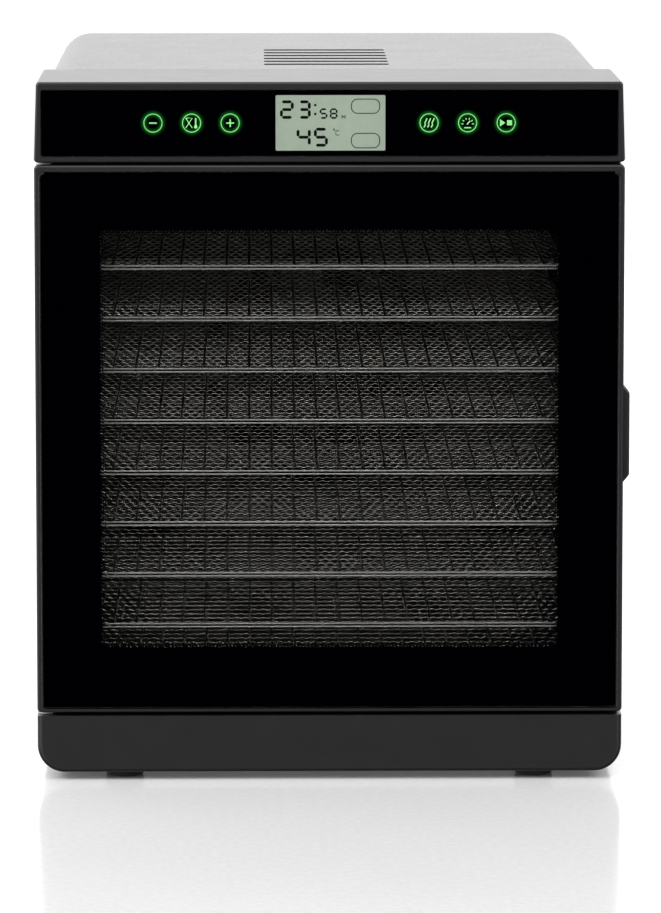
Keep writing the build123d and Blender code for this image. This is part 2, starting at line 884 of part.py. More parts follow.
# ================================================================ control housing and panel
glass_low = housing_bottom + control_border_bottom
glass_high = body_top - control_border_top
glass_half = side_x - control_border_side
panel_middle = (glass_low + glass_high) / 2
glass_back_y = front_y + control_glass_thickness
wall_back_y = glass_back_y + control_wall
cavity_half = side_x - housing_taper - plastic_wall
cavity_floor = housing_bottom + plastic_wall
module_width = lcd_width + 2 * module_border[0]
module_height = lcd_height + 2 * module_border[1]
module_place = (lcd_offset, panel_middle)
icon_spots = [(x, panel_middle) for x in icon_places]
control_board_y = glass_back_y + module_depth
board_boss_x = control_board_width / 2 - 6.0
board_boss_rise = 11.0
board_boss_places = [
    (sign * board_boss_x, panel_middle + rise)
    for sign in (-1, 1)
    for rise in (-board_boss_rise, board_boss_rise)
]
board_screw = 1.4
board_screw_length = 6.0

with BuildPart() as control_housing:
    with BuildSketch(upright(front_y)):
        with BuildLine():
            Polyline(
                (-side_x, housing_bottom),
                (side_x, housing_bottom),
                (side_x - housing_taper, body_top),
                (-side_x + housing_taper, body_top),
                close=True,
            )
        make_face()
        fillet(vertices(), 2.0)
    extrude(amount=-housing_depth)
    fillet(edges().group_by(Axis.Y)[0], 1.2)
    with BuildSketch(upright(front_y)):
        slab(-glass_half - fit, glass_half + fit, glass_low - fit, glass_high + fit, corner=1.5)
    extrude(amount=-control_glass_thickness, mode=Mode.SUBTRACT)
    with BuildSketch(upright(wall_back_y)):
        slab(-cavity_half, cavity_half, cavity_floor, body_top - plastic_wall)
    extrude(amount=-(housing_back_y - plastic_wall - wall_back_y), mode=Mode.SUBTRACT)
    with BuildSketch(upright(housing_back_y)):
        cabinet_outline(sheet + plastic_wall, cavity_floor)
    extrude(amount=plastic_wall, mode=Mode.SUBTRACT)
    with BuildSketch(upright(glass_back_y)):
        with Locations(module_place):
            Rectangle(module_width + 2 * fit, module_height + 2 * fit)
        with Locations(*icon_spots):
            Circle(light_guide_radius + fit)
    extrude(amount=-control_wall, mode=Mode.SUBTRACT)
    pegs(upright_back(wall_back_y), board_boss_places, 3.5, control_board_y - wall_back_y)
    drill(
        upright_back(control_board_y),
        board_boss_places,
        board_screw + screw_fit,
        board_screw_length - board_thickness,
    )
    drill(
        Plane.XY.offset(cavity_floor),
        housing_screw_places,
        housing_screw_radius + fit,
        plastic_wall,
    )
    drill(
        Plane.XY.offset(cavity_floor),
        [(hinge_x, hinge_y)],
        hinge_pin_radius + screw_fit,
        plastic_wall,
    )
    pegs(
        Plane.XY.offset(cavity_floor),
        [(hinge_x, hinge_y)],
        hinge_pin_head + fit,
        hinge_pin_head_height + fit,
        mode=Mode.SUBTRACT,
    )
control_housing.part.label = "control_housing"

with BuildPart() as control_glass:
    with BuildSketch(upright(front_y)):
        slab(-glass_half, glass_half, glass_low, glass_high, corner=1.3)
    extrude(amount=-control_glass_thickness)
    chamfer(edges().group_by(Axis.Y)[0], 0.4)
control_glass.part.label = "control_glass"

with BuildPart() as display_module:
    with BuildSketch(upright(glass_back_y)):
        with Locations(module_place):
            Rectangle(module_width, module_height)
    extrude(amount=-module_depth)
    with BuildSketch(upright(wall_back_y)):
        with Locations(module_place):
            Rectangle(module_width + 8.0, module_height)
    extrude(amount=-flange_thickness)
    with BuildSketch(upright(glass_back_y)):
        with Locations(module_place):
            Rectangle(lcd_width + 2 * fit, lcd_height + 2 * fit)
    extrude(amount=-lcd_thickness, mode=Mode.SUBTRACT)
display_module.part.label = "display_module"

with BuildPart() as lcd_panel:
    with BuildSketch(upright(glass_back_y)):
        with Locations(module_place):
            Rectangle(lcd_width, lcd_height)
    extrude(amount=-lcd_thickness)
lcd_panel.part.label = "lcd_panel"

with BuildPart() as icon_light_guides:
    with BuildSketch(upright(glass_back_y)):
        with Locations(*icon_spots):
            Circle(light_guide_radius)
    extrude(amount=-module_depth)
    with BuildSketch(upright(wall_back_y)):
        with Locations(*icon_spots):
            Circle(light_guide_flange)
    extrude(amount=-flange_thickness)
icon_light_guides.part.label = "icon_light_guides"

with BuildPart() as control_board:
    with BuildSketch(upright(control_board_y)):
        with Locations((0, panel_middle)):
            Rectangle(control_board_width, control_board_height)
        with Locations(*board_boss_places):
            Circle(board_screw + screw_fit, mode=Mode.SUBTRACT)
    extrude(amount=-board_thickness)
    with BuildSketch(upright_back(control_board_y + board_thickness)):
        with Locations((0, panel_middle)):
            Rectangle(14.0, 14.0)
            with GridLocations(60.0, 18.0, 2, 2):
                Rectangle(9.0, 5.0)
    extrude(amount=2.0)
control_board.part.label = "control_board"

with BuildPart() as board_screws:
    screws(
        upright_back(control_board_y + board_thickness),
        board_boss_places,
        2.8,
        board_screw,
        1.6,
        board_screw_length,
    )
board_screws.part.label = "board_screws"

with BuildPart() as housing_screws:
    screws(
        Plane.XY.offset(cavity_floor),
        housing_screw_places,
        housing_screw_head,
        housing_screw_radius,
        2.0,
        2 * plastic_wall + 3.0,
    )
housing_screws.part.label = "housing_screws"

with BuildPart() as hinge_pins:
    pegs(
        Plane.XY.offset(cavity_floor),
        [(hinge_x, hinge_y)],
        hinge_pin_head,
        hinge_pin_head_height,
    )
    with BuildSketch(Plane.XY.offset(cavity_floor)):
        with Locations((hinge_x, hinge_y)):
            Circle(hinge_pin_radius)
    extrude(amount=-(plastic_wall + gap_over_door + hinge_pin_reach))
    with BuildSketch(Plane.XY.offset(deck_under)):
        with Locations((hinge_x, hinge_y)):
            Circle(hinge_pin_head)
    extrude(amount=-hinge_pin_head_height)
    pegs(
        Plane.XY.offset(deck_under),
        [(hinge_x, hinge_y)],
        hinge_pin_radius,
        plastic_wall + gap_under_door + hinge_pin_reach,
    )
hinge_pins.part.label = "hinge_pins"

# ================================================================ door
door_glass_low = door_bottom + door_border_bottom
door_glass_high = door_top - door_border_top
door_glass_half = side_x - door_border_side
door_glass_back = front_y + door_glass_thickness
channel_front_y = door_glass_back + plastic_wall
panel_front_y = door_back_y - plastic_wall
window_half = window_width / 2
window_top = window_bottom + window_height
seal_half = opening_half + seal_offset
seal_low = chamber_floor_level - seal_offset
seal_high = chamber_ceiling_level + seal_offset
door_screw = 1.5
door_screw_head = 3.0
door_screw_boss = 4.0
door_screw_length = 9.0
door_screw_inset = 21.0
door_screw_x = opening_half - screw_bite
door_screw_low = door_bottom + door_screw_inset
door_screw_high = door_top - door_screw_inset
door_screw_places = [
    (sign * door_screw_x, level)
    for sign in (-1, 1)
    for level in (door_screw_low, (door_screw_low + door_screw_high) / 2, door_screw_high)
]
door_screw_places += [(0.0, door_screw_low), (0.0, door_screw_high)]
head_recess = 1.5
magnet_front_y = door_back_y - fit - magnet_depth
handle_y = (front_y + door_back_y) / 2
handle_screw = 1.5
handle_screw_pitch = 30.0
handle_screw_places = [
    (handle_y, handle_level + side * handle_screw_pitch / 2) for side in (-1, 1)
]


def seal_ring(half_width):
    """The seal's line round the chamber mouth as a flat ring in the open sketch."""
    slab(
        -seal_half - half_width, seal_half + half_width,
        seal_low - half_width, seal_high + half_width,
        corner=4.0 + half_width,
    )
    slab(
        -seal_half + half_width, seal_half - half_width,
        seal_low + half_width, seal_high - half_width,
        corner=4.0 - half_width / 2, mode=Mode.SUBTRACT,
    )


with BuildPart() as door_frame:
    with BuildSketch(upright(front_y)):
        slab(-side_x, side_x, door_bottom, door_top, corner=door_corner)
    extrude(amount=-door_thickness)
    fillet(edges().group_by(Axis.Y)[0], door_front_edge)
    fillet(edges().filter_by(Axis.Z).group_by(Axis.Y)[-1], door_back_edge)
    with BuildSketch(upright(front_y)):
        slab(
            -door_glass_half - fit, door_glass_half + fit,
            door_glass_low - fit, door_glass_high + fit,
            corner=glass_corner,
        )
    extrude(amount=-door_glass_thickness, mode=Mode.SUBTRACT)
    with BuildSketch(upright(front_y)):
        slab(-window_half, window_half, window_bottom, window_top, corner=window_corner)
    extrude(amount=-door_thickness, mode=Mode.SUBTRACT)
    with BuildSketch(upright(door_back_y)):
        slab(-side_x + door_rim, side_x - door_rim, door_bottom + plastic_wall, door_top - plastic_wall)
    extrude(amount=plastic_wall, mode=Mode.SUBTRACT)
    with BuildSketch(upright(channel_front_y)) as channel:
        slab(-side_x + door_rim, side_x - door_rim, door_bottom + plastic_wall, door_top - plastic_wall)
        slab(
            -window_half - plastic_wall, window_half + plastic_wall,
            window_bottom - plastic_wall, window_top + plastic_wall,
            mode=Mode.SUBTRACT,
        )
        for low in (door_bottom, door_top - hinge_block[1]):
            slab(
                -side_x, -side_x + door_rim + hinge_block[0], low, low + hinge_block[1],
                mode=Mode.SUBTRACT,
            )
        with Locations(*door_screw_places):
            Circle(door_screw_boss, mode=Mode.SUBTRACT)
    extrude(amount=-(panel_front_y - channel_front_y), mode=Mode.SUBTRACT)
    with BuildSketch(upright(channel_front_y)):
        with Locations(*strike_places):
            Rectangle(magnet_size[0], magnet_size[1])
    extrude(amount=-(magnet_front_y - channel_front_y))
    drill(
        upright_back(panel_front_y),
        [(-x, z) for x, z in door_screw_places],
        door_screw + screw_fit,
        door_screw_length,
    )
    drill(Plane.XY.offset(door_top), [(hinge_x, hinge_y)], bush_radius + screw_fit, bush_length)
    with BuildSketch(Plane.XY.offset(door_bottom)):
        with Locations((hinge_x, hinge_y)):
            Circle(bush_radius + screw_fit)
    extrude(amount=bush_length, mode=Mode.SUBTRACT)
    drill(Plane.YZ.offset(side_x), handle_screw_places, handle_screw + fit, door_rim)
door_frame.part.label = "door_frame"

with BuildPart() as door_glass:
    with BuildSketch(upright(front_y)):
        slab(
            -door_glass_half, door_glass_half,
            door_glass_low, door_glass_high,
            corner=glass_corner - fit,
        )
    extrude(amount=-door_glass_thickness)
    chamfer(edges().group_by(Axis.Y)[0], 0.4)
door_glass.part.label = "door_glass"

with BuildPart() as door_inner_panel:
    with BuildSketch(upright(panel_front_y)):
        slab(
            -side_x + door_rim + fit, side_x - door_rim - fit,
            door_bottom + plastic_wall + fit, door_top - plastic_wall - fit,
        )
        slab(
            -window_half, window_half, window_bottom, window_top,
            corner=window_corner, mode=Mode.SUBTRACT,
        )
        with Locations(*strike_places):
            Rectangle(magnet_size[0] + 2 * fit, magnet_size[1] + 2 * fit, mode=Mode.SUBTRACT)
        with Locations(*door_screw_places):
            Circle(door_screw + fit, mode=Mode.SUBTRACT)
    extrude(amount=-plastic_wall)
    drill(
        upright_back(door_back_y),
        [(-x, z) for x, z in door_screw_places],
        door_screw_head + fit,
        head_recess,
    )
    with BuildSketch(upright(door_back_y)):
        seal_ring(seal_width / 2 + fit / 2)
    extrude(amount=seal_groove, mode=Mode.SUBTRACT)
door_inner_panel.part.label = "door_inner_panel"

with BuildPart() as door_seal:
    with BuildSketch(upright(door_back_y - seal_groove)):
        seal_ring(seal_width / 2)
    extrude(amount=-(seal_groove + gap_behind_door - seal_gap))
door_seal.part.label = "door_seal"

with BuildPart() as door_magnets:
    with BuildSketch(upright(magnet_front_y)):
        with Locations(*strike_places):
            Rectangle(*magnet_size)
    extrude(amount=-magnet_depth)
door_magnets.part.label = "door_magnets"

with BuildPart() as door_screws:
    screws(
        upright_back(door_back_y - head_recess),
        [(-x, z) for x, z in door_screw_places],
        door_screw_head,
        door_screw,
        head_recess - fit,
        door_screw_length - 1.0,
    )
door_screws.part.label = "door_screws"

flange_radius = bush_radius + 1.6
upper_flange = 0.7
lower_flange = gap_under_door - fit

with BuildPart() as hinge_bushes:
    for start, flange, way in ((door_top, upper_flange, 1), (door_bottom, lower_flange, -1)):
        with BuildSketch(Plane.XY.offset(start)):
            with Locations((hinge_x, hinge_y)):
                Circle(bush_radius)
        extrude(amount=-way * bush_length)
        with BuildSketch(Plane.XY.offset(start)):
            with Locations((hinge_x, hinge_y)):
                Circle(flange_radius)
        extrude(amount=way * flange)
        with BuildSketch(Plane.XY.offset(start + way * flange)):
            with Locations((hinge_x, hinge_y)):
                Circle(hinge_pin_radius + running_fit)
        extrude(amount=-way * (bush_length + flange), mode=Mode.SUBTRACT)
hinge_bushes.part.label = "hinge_bushes"

with BuildPart() as door_handle:
    with BuildSketch(upright(handle_y - handle_depth / 2)):
        with BuildLine():
            Polyline(
                (side_x, handle_level - handle_length / 2),
                (side_x + handle_proud, handle_level - handle_length / 2 + handle_slope),
                (side_x + handle_proud, handle_level + handle_length / 2 - handle_slope),
                (side_x, handle_level + handle_length / 2),
                close=True,
            )
        make_face()
    extrude(amount=-handle_depth)
    fillet(edges().filter_by(Axis.Y).group_by(Axis.X)[-1], 2.0)
    fillet(edges().filter_by(Axis.Z).group_by(Axis.X)[-1], 1.2)
    drill(
        Plane(origin=(side_x, 0, 0), x_dir=(0, 1, 0), z_dir=(-1, 0, 0)),
        [(y, -z) for y, z in handle_screw_places],
        handle_screw + screw_fit,
        handle_proud - 0.8,
    )
door_handle.part.label = "door_handle"

with BuildPart() as handle_screws:
    screws(
        Plane(origin=(side_x - door_rim, 0, 0), x_dir=(0, 1, 0), z_dir=(-1, 0, 0)),
        [(y, -z) for y, z in handle_screw_places],
        2.8,
        handle_screw,
        1.6,
        door_rim + handle_proud - 1.0,
    )
handle_screws.part.label = "handle_screws"

# ================================================================ trays
with BuildPart() as tray:
    with BuildSketch(Plane.XY.offset(0)) as tray_loop:
        with Locations((0, tray_middle_y)):
            RectangleRounded(tray_width - tray_rod, tray_depth - tray_rod, tray_corner)
    loop = tray_loop.face().outer_wire()
    extrude(amount=lattice_thickness / 2, both=True)
    with BuildSketch(Plane.XY.offset(-lattice_thickness / 2)):
        with Locations((0, tray_middle_y)):
            RectangleRounded(tray_width - tray_rod, tray_depth - tray_rod, tray_corner)
            with GridLocations(rib_pitch, 1, rib_count, 1):
                Rectangle(rib_width, tray_depth, mode=Mode.SUBTRACT)
            with GridLocations(1, wire_pitch, 1, wire_count):
                Rectangle(tray_width, wire_width, mode=Mode.SUBTRACT)
    extrude(amount=lattice_thickness, mode=Mode.SUBTRACT)
    with BuildSketch(Plane(origin=loop @ 0, z_dir=loop % 0)):
        Circle(tray_rod / 2)
    sweep(path=loop)

trays = []
for number, level in enumerate(reversed(tray_levels), start=1):
    placed = tray.part.moved(Location((0, 0, level)))
    placed.label = f"tray_{number}"
    trays.append(placed)

# ================================================================ export
pieces = [
    base_housing, base_plate, feet, foot_screws, outer_casing, vent_baffle, rear_cover,
    rear_screws, cord_gland, front_frame, strike_plates, chamber_left, chamber_right,
    chamber_floor, chamber_ceiling, rear_baffle, fan_guard, thermal_cutout, temperature_sensor,
    heater_ring, heater_clips, fan_impeller, motor_shaft, shaft_nut, motor_bracket,
    motor_stator, motor_coil, motor_screws, board_standoffs, power_board, mains_lead,
    control_housing, control_glass, display_module, lcd_panel, icon_light_guides,
    control_board, board_screws, housing_screws, hinge_pins, door_frame, door_glass,
    door_inner_panel, door_seal, door_magnets, door_screws, hinge_bushes, door_handle,
    handle_screws,
]
os.makedirs("parts", exist_ok=True)
for piece in [entry.part for entry in pieces] + trays:
    export_step(piece, f"parts/{piece.label}.step")
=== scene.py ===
"""Looks of a countertop food dehydrator: wire trays behind a glass door, with a lit control panel.

Metres, +Z up, -Y towards the user. Sizes named in millimetres are turned to metres by MM.
"""

import json

import bpy
import numpy as np
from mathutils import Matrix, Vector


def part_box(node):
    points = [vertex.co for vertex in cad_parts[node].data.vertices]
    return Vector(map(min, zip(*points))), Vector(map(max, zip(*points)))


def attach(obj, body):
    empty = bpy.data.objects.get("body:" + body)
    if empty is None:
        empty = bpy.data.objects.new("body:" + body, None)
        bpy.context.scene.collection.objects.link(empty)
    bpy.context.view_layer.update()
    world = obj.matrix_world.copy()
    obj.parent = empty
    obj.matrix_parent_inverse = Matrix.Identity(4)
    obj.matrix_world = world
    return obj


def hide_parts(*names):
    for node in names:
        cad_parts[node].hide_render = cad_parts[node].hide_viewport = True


MM = 0.001

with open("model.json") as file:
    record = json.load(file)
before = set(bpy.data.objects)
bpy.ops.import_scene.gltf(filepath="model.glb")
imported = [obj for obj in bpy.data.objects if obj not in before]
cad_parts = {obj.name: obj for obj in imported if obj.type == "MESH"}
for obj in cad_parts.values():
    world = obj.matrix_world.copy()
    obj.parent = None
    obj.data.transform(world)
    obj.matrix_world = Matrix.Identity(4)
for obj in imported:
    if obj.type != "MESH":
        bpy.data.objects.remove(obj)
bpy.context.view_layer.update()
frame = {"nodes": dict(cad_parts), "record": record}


# ================================================================ camera
CAMERA_PLACE = (-0.0424, -3.4, 0.6439)
CAMERA_PITCH = 0.1209  # radians down from level
CAMERA_YAW = 0.0135  # radians towards +X

viewer = bpy.data.objects.new("viewer", bpy.data.cameras.new("viewer"))
viewer.location = CAMERA_PLACE
viewer.rotation_euler = (np.pi / 2 - CAMERA_PITCH, 0.0, -CAMERA_YAW)
viewer.data.sensor_width = 36.0
viewer.data.lens = 215.4
viewer.data.shift_y = -0.12
bpy.context.scene.collection.objects.link(viewer)
bpy.context.scene.camera = viewer


# ================================================================ meshes
def piece(name, points, faces, material, body, slot, smooth=True):
    """A mesh object with its place in its mesh, riding on a body and finished with the given material;
    its slot is not used.
    """
    mesh = bpy.data.meshes.new(name)
    mesh.from_pydata(points.tolist(), [], faces)
    mesh.polygons.foreach_set("use_smooth", np.full(len(faces), smooth))
    mesh.materials.append(material)
    made = bpy.data.objects.new(name, mesh)
    bpy.context.scene.collection.objects.link(made)
    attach(made, body)
    return made


def joined(parts):
    """Several (points, faces) meshes as one: each one's faces count on from the points before it."""
    starts = np.cumsum([0] + [len(points) for points, _ in parts])
    faces = [
        [int(corner + start) for corner in face]
        for (_, part_faces), start in zip(parts, starts)
        for face in part_faces
    ]
    return np.concatenate([points for points, _ in parts]), faces


def unit(vectors):
    """Vectors scaled to length one."""
    return vectors / np.linalg.norm(vectors, axis=-1, keepdims=True)


def bar(path, radius, aside, sides=8, closed=False):
    """A round bar: a circle carried along the path, square to it.

    The circle lies in the two directions square to the path's run, the first of them square to
    `aside` too. Its radius may change from point to point. Open ends are closed by a flat face.
    """
    count = len(path)
    ahead = np.roll(path, -1, 0) - np.roll(path, 1, 0) if closed else np.gradient(path, axis=0)
    ahead = unit(ahead)
    across = unit(np.cross(ahead, aside))
    over = np.cross(across, ahead)
    turn = np.arange(sides) * 2 * np.pi / sides
    circle = (
        np.cos(turn)[None, :, None] * across[:, None] + np.sin(turn)[None, :, None] * over[:, None]
    )
    points = path[:, None] + np.broadcast_to(radius, count)[:, None, None] * circle
    rings = np.arange(count if closed else count - 1)[:, None]
    sector = np.arange(sides)[None, :]
    here, there = rings * sides, (rings + 1) % count * sides
    beside = (sector + 1) % sides
    quads = np.stack([here + sector, there + sector, there + beside, here + beside], -1)
    faces = quads.reshape(-1, 4).tolist()
    if not closed:
        last = (count - 1) * sides
        faces.append(list(range(sides)))
        faces.append(list(range(last + sides - 1, last - 1, -1)))
    return points.reshape(-1, 3), faces


def rounded_loop(low, high, radius, steps=8):
    """A rectangle's outline with quarter-circle corners, counter-clockwise, as (n, 2) points."""
    low, high = np.asarray(low), np.asarray(high)
    turn = np.linspace(0, np.pi / 2, steps)
    quarter = np.stack([np.cos(turn), np.sin(turn)], -1) * radius
    inner_low, inner_high = low + radius, high - radius
    centres = [inner_high, (inner_low[0], inner_high[1]), inner_low, (inner_high[0], inner_low[1])]
    corners = []
    for centre in centres:
        corners.append(np.asarray(centre) + quarter)
        quarter = np.stack([-quarter[:, 1], quarter[:, 0]], -1)
    return np.concatenate(corners)


# ---------------------------------------------------------------- flat marks, in X and Z
def ribbon(path, width, closed=False):
    """A flat band of even width: the path moved half the width to its right and to its left."""
    path = np.asarray(path, float)
    ahead = np.roll(path, -1, 0) - np.roll(path, 1, 0) if closed else np.gradient(path, axis=0)
    ahead = unit(ahead)
    left = np.stack([-ahead[:, 1], ahead[:, 0]], -1) * width / 2
    count = len(path)
    here = np.arange(count if closed else count - 1)
    there = (here + 1) % count
    faces = np.stack([here, there, there + count, here + count], -1)
    return np.concatenate([path - left, path + left]), faces.tolist()


def patch(corners):
    """A flat face from its corners, counter-clockwise."""
    return np.asarray(corners, float), [list(range(len(corners)))]


def disc(centre, radius, sides=12):
    """A filled circle."""
    turn = np.arange(sides) * 2 * np.pi / sides
    return patch(np.asarray(centre) + radius * np.stack([np.cos(turn), np.sin(turn)], -1))


def moved(mark, place):
    """A mark moved by (x, z)."""
    return mark[0] + np.asarray(place), mark[1]


def upright(marks, y):
    """Flat marks in millimetres, stood up at a depth y in metres and facing the user."""
    flat, faces = joined(marks)
    points = np.stack([flat[:, 0] * MM, np.full(len(flat), y), flat[:, 1] * MM], -1)
    return points, faces


# ================================================================ materials
def linear(text):
    """An sRGB hex colour as linear RGBA."""
    coded = np.array([int(text[i : i + 2], 16) / 255 for i in (1, 3, 5)])
    value = np.where(coded <= 0.04045, coded / 12.92, ((coded + 0.055) / 1.055) ** 2.4)
    return (*value.tolist(), 1.0)


def add(tree, kind, feeds=None, **settings):
    """A node of a kind with its settings; feeds gives its inputs a value or a driving socket."""
    made = tree.nodes.new(kind)
    for key, value in settings.items():
        setattr(made, key, value)
    for key, value in (feeds or {}).items():
        if isinstance(value, bpy.types.NodeSocket):
            tree.links.new(value, made.inputs[key])
        else:
            made.inputs[key].default_value = value
    return made


def started(name):
    """A new material with its node tree and the place of each point in metres."""
    material = bpy.data.materials.new(name)
    material.use_nodes = True
    tree = material.node_tree
    tree.nodes.clear()
    place = add(tree, "ShaderNodeTexCoord").outputs["Object"]
    return material, tree, place


def shown(tree, shader):
    """Sends a shader to the material's output."""
    add(tree, "ShaderNodeOutputMaterial", {"Surface": shader.outputs[0]})


WEAR_WIDTH = 25.0  # width of the uneven patches that handling leaves, in grains
WEAR_SHARE = 0.15


def grained(name, dark, light, grain, roughness, relief, stretch=(1, 1, 1), **shader):
    """A surface whose grain, in millimetres, drives its colour, roughness and relief together.

    A wide slow noise adds the unevenness that handling and moulding leave.
    """
    material, tree, place = started(name)
    run = add(tree, "ShaderNodeMapping", {"Vector": place, "Scale": stretch}).outputs[0]
    fine = add(tree, "ShaderNodeTexNoise", {"Vector": run, "Scale": 1 / (grain * MM), "Detail": 3.0})
    wide = add(
        tree, "ShaderNodeTexNoise",
        {"Vector": run, "Scale": 1 / (WEAR_WIDTH * grain * MM), "Detail": 2.0},
    )
    blend = add(
        tree, "ShaderNodeMix",
        {0: WEAR_SHARE, 2: fine.outputs[0], 3: wide.outputs[0]}, data_type="FLOAT",
    )
    spread = add(
        tree, "ShaderNodeMapRange",
        {"Value": blend.outputs[0], "From Min": 0.35, "From Max": 0.65},
    ).outputs[0]
    colour = add(
        tree, "ShaderNodeMix", {0: spread, 6: linear(dark), 7: linear(light)}, data_type="RGBA"
    ).outputs[2]
    rough = add(
        tree, "ShaderNodeMapRange",
        {"Value": spread, "To Min": roughness[0], "To Max": roughness[1]},
    ).outputs[0]
    bump = add(
        tree, "ShaderNodeBump",
        {"Height": fine.outputs[0], "Strength": relief, "Distance": grain * MM / 4},
    ).outputs[0]
    feeds = {"Base Color": colour, "Roughness": rough, "Normal": bump, **shader}
    shown(tree, add(tree, "ShaderNodeBsdfPrincipled", feeds))
    return material


def clear_glass(name, tint):
    """Float glass, polished: clear from in front, and mirror-like where it is seen at a slant."""
    material, tree, place = started(name)
    ripple = add(tree, "ShaderNodeTexNoise", {"Vector": place, "Scale": 9.0, "Detail": 1.0})
    bump = add(
        tree, "ShaderNodeBump", {"Height": ripple.outputs[0], "Strength": 0.02, "Distance": MM}
    ).outputs[0]
    share = add(tree, "ShaderNodeFresnel", {"IOR": 1.52})
    through = add(tree, "ShaderNodeBsdfTransparent", {"Color": linear(tint)})
    mirror = add(tree, "ShaderNodeBsdfGlossy", {"Roughness": 0.02, "Normal": bump})
    shown(
        tree,
        add(
            tree, "ShaderNodeMixShader",
            {0: share.outputs[0], 1: through.outputs[0], 2: mirror.outputs[0]},
        ),
    )
    return material


def glowing(name, colour, edge, strength):
    """Lit plastic or liquid crystal: its own even light, slightly mottled, on a matt face."""
    material, tree, place = started(name)
    mottle = add(tree, "ShaderNodeTexNoise", {"Vector": place, "Scale": 220.0, "Detail": 2.0})
    shade = add(
        tree, "ShaderNodeMix",
        {0: mottle.outputs[0], 6: linear(edge), 7: linear(colour)}, data_type="RGBA",
    ).outputs[2]
    feeds = {
        "Base Color": shade, "Roughness": 0.5,
        "Emission Color": shade, "Emission Strength": strength,
    }
    shown(tree, add(tree, "ShaderNodeBsdfPrincipled", feeds))
    return material


ICON_COLUMNS = (-103.0, -80.5, -58.0, 58.0, 80.5, 103.0)
ICON_PITCH = 22.5
ICON_RING = 5.3
ICON_LINE = 0.45
ICON_GLOW = 1.2
PANEL_LOW, PANEL_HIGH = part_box("control_glass")
PANEL_LEVEL = (PANEL_LOW[2] + PANEL_HIGH[2]) / 2


def panel_ink(name):
    """Black enamel printed on the back of the glass, with light bleeding round each lit ring.

    Across the panel the distance to the middle of the nearest icon repeats with the icon pitch.
    The glow is a bell curve of the distance from that icon's ring.
    """
    material, tree, place = started(name)
    parts = add(tree, "ShaderNodeSeparateXYZ", {0: place}).outputs
    width = add(tree, "ShaderNodeMath", {0: parts["X"]}, operation="ABSOLUTE").outputs[0]
    nearest = ICON_COLUMNS[3]
    wrapped = add(
        tree, "ShaderNodeMath",
        {0: width, 1: (nearest + ICON_PITCH / 2) * MM, 2: (nearest - ICON_PITCH / 2) * MM},
        operation="WRAP",
    ).outputs[0]
    across = add(tree, "ShaderNodeMath", {0: wrapped, 1: nearest * MM}, operation="SUBTRACT")
    above = add(tree, "ShaderNodeMath", {0: parts["Z"], 1: PANEL_LEVEL}, operation="SUBTRACT")
    spot = add(tree, "ShaderNodeCombineXYZ", {0: across.outputs[0], 1: above.outputs[0]})
    away = add(tree, "ShaderNodeVectorMath", {0: spot.outputs[0]}, operation="LENGTH")
    off = add(
        tree, "ShaderNodeMath", {0: away.outputs["Value"], 1: ICON_RING * MM}, operation="SUBTRACT"
    ).outputs[0]
    scaled = add(tree, "ShaderNodeMath", {0: off, 1: ICON_GLOW * MM}, operation="DIVIDE").outputs[0]
    square = add(tree, "ShaderNodeMath", {0: scaled, 1: scaled}, operation="MULTIPLY").outputs[0]
    bell = add(tree, "ShaderNodeMath", {0: 0.3679, 1: square}, operation="POWER").outputs[0]
    inside = add(
        tree, "ShaderNodeMath", {0: width, 1: (nearest - ICON_PITCH / 2) * MM},
        operation="GREATER_THAN",
    ).outputs[0]
    outside = add(
        tree, "ShaderNodeMath", {0: width, 1: (ICON_COLUMNS[5] + ICON_PITCH / 2) * MM},
        operation="LESS_THAN",
    ).outputs[0]
    within = add(tree, "ShaderNodeMath", {0: inside, 1: outside}, operation="MULTIPLY").outputs[0]
    glow = add(tree, "ShaderNodeMath", {0: bell, 1: within}, operation="MULTIPLY").outputs[0]
    light = add(
        tree, "ShaderNodeMix",
        {0: glow, 6: (0.0, 0.0, 0.0, 1.0), 7: linear("#0a6418")}, data_type="RGBA",
    ).outputs[2]
    feeds = {
        "Base Color": linear("#020207"), "Roughness": 0.45, "Specular IOR Level": 0.0,
        "Emission Color": light, "Emission Strength": 1.0,
    }
    shown(tree, add(tree, "ShaderNodeBsdfPrincipled", feeds))
    return material


